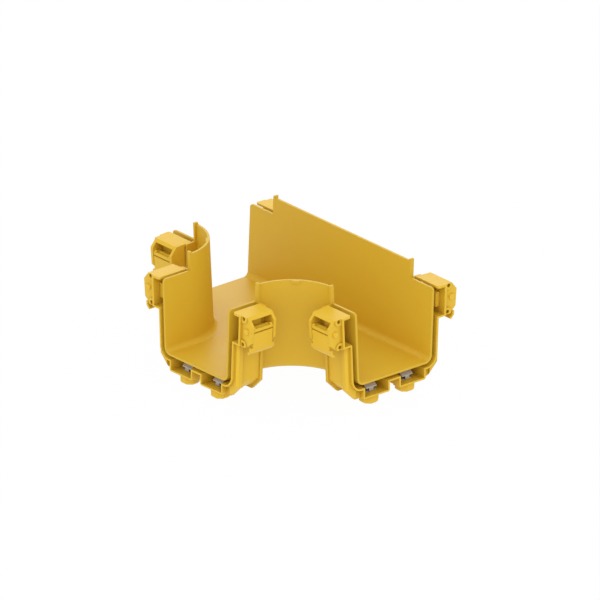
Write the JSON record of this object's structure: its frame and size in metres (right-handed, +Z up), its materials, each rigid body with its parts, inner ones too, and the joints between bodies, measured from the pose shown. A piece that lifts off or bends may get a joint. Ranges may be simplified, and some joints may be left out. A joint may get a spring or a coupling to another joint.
{
  "type": "raceway tee fitting",
  "caption": "Horizontal tee for a fibre raceway: open trough with curved inside walls and a latching coupler collar at each mouth.",
  "frame": {"origin": "centre of the footprint, on the plane of the feet's undersides", "axes": "+X along the run, -Y out of the branch, +Z up"},
  "size_m": [0.291, 0.2314, 0.1299],
  "materials": {
    "trough": "satin moulded yellow",
    "collar": "satin moulded yellow",
    "latch": "satin moulded yellow",
    "pad": "satin moulded yellow",
    "pin": "satin moulded yellow",
    "clip": "bright spring steel",
    "screw": "zinc plated"
  },
  "bodies": {
    "fitting": {"tee_body": "trough", "right_collar": "collar", "right_rear_pivot_pin": "pin", "right_rear_spring_clip": "clip", "right_rear_clip_screw": "screw", "right_front_pivot_pin": "pin", "right_front_spring_clip": "clip", "right_front_clip_screw": "screw", "left_collar": "collar", "left_front_pivot_pin": "pin", "left_front_spring_clip": "clip", "left_front_clip_screw": "screw", "left_rear_pivot_pin": "pin", "left_rear_spring_clip": "clip", "left_rear_clip_screw": "screw", "branch_collar": "collar", "branch_right_pivot_pin": "pin", "branch_right_spring_clip": "clip", "branch_right_clip_screw": "screw", "branch_left_pivot_pin": "pin", "branch_left_spring_clip": "clip", "branch_left_clip_screw": "screw"},
    "right_rear_latch_lever": {"right_rear_latch_lever": "latch"},
    "right_rear_grip_pad": {"right_rear_grip_pad": "pad"},
    "right_front_latch_lever": {"right_front_latch_lever": "latch"},
    "right_front_grip_pad": {"right_front_grip_pad": "pad"},
    "left_front_latch_lever": {"left_front_latch_lever": "latch"},
    "left_front_grip_pad": {"left_front_grip_pad": "pad"},
    "left_rear_latch_lever": {"left_rear_latch_lever": "latch"},
    "left_rear_grip_pad": {"left_rear_grip_pad": "pad"},
    "branch_right_latch_lever": {"branch_right_latch_lever": "latch"},
    "branch_right_grip_pad": {"branch_right_grip_pad": "pad"},
    "branch_left_latch_lever": {"branch_left_latch_lever": "latch"},
    "branch_left_grip_pad": {"branch_left_grip_pad": "pad"}
  },
  "joints": [
    {"name": "right_rear_lever_swing", "type": "hinge", "parent": "fitting", "child": "right_rear_latch_lever", "pos_m": [0.1262, 0.10823, 0.0923], "axis": [1, 0, 0], "range_deg": [0, 60]},
    {"name": "right_rear_pad_slide", "type": "slide", "parent": "fitting", "child": "right_rear_grip_pad", "axis": [0, 1, 0], "range_m": [0, 0.0022]},
    {"name": "right_front_lever_swing", "type": "hinge", "parent": "fitting", "child": "right_front_latch_lever", "pos_m": [0.1262, -0.04868, 0.0923], "axis": [-1, 0, 0], "range_deg": [0, 60]},
    {"name": "right_front_pad_slide", "type": "slide", "parent": "fitting", "child": "right_front_grip_pad", "axis": [0, -1, 0], "range_m": [0, 0.0022]},
    {"name": "left_front_lever_swing", "type": "hinge", "parent": "fitting", "child": "left_front_latch_lever", "pos_m": [-0.1262, -0.04868, 0.0923], "axis": [-1, 0, 0], "range_deg": [0, 60]},
    {"name": "left_front_pad_slide", "type": "slide", "parent": "fitting", "child": "left_front_grip_pad", "axis": [0, -1, 0], "range_m": [0, 0.0022]},
    {"name": "left_rear_lever_swing", "type": "hinge", "parent": "fitting", "child": "left_rear_latch_lever", "pos_m": [-0.1262, 0.10823, 0.0923], "axis": [1, 0, 0], "range_deg": [0, 60]},
    {"name": "left_rear_pad_slide", "type": "slide", "parent": "fitting", "child": "left_rear_grip_pad", "axis": [0, 1, 0], "range_m": [0, 0.0022]},
    {"name": "branch_right_lever_swing", "type": "hinge", "parent": "fitting", "child": "branch_right_latch_lever", "pos_m": [0.07846, -0.09643, 0.0923], "axis": [0, -1, 0], "range_deg": [0, 60]},
    {"name": "branch_right_pad_slide", "type": "slide", "parent": "fitting", "child": "branch_right_grip_pad", "axis": [1, 0, 0], "range_m": [0, 0.0022]},
    {"name": "branch_left_lever_swing", "type": "hinge", "parent": "fitting", "child": "branch_left_latch_lever", "pos_m": [-0.07846, -0.09643, 0.0923], "axis": [0, 1, 0], "range_deg": [0, 60]},
    {"name": "branch_left_pad_slide", "type": "slide", "parent": "fitting", "child": "branch_left_grip_pad", "axis": [-1, 0, 0], "range_m": [0, 0.0022]}
  ],
  "couplings": [
    {"joint": "right_rear_lever_swing", "follows": "right_rear_pad_slide", "rad_per_m": 475.9},
    {"joint": "right_front_lever_swing", "follows": "right_front_pad_slide", "rad_per_m": 475.9},
    {"joint": "left_front_lever_swing", "follows": "left_front_pad_slide", "rad_per_m": 475.9},
    {"joint": "left_rear_lever_swing", "follows": "left_rear_pad_slide", "rad_per_m": 475.9},
    {"joint": "branch_right_lever_swing", "follows": "branch_right_pad_slide", "rad_per_m": 475.9},
    {"joint": "branch_left_lever_swing", "follows": "branch_left_pad_slide", "rad_per_m": 475.9}
  ]
}
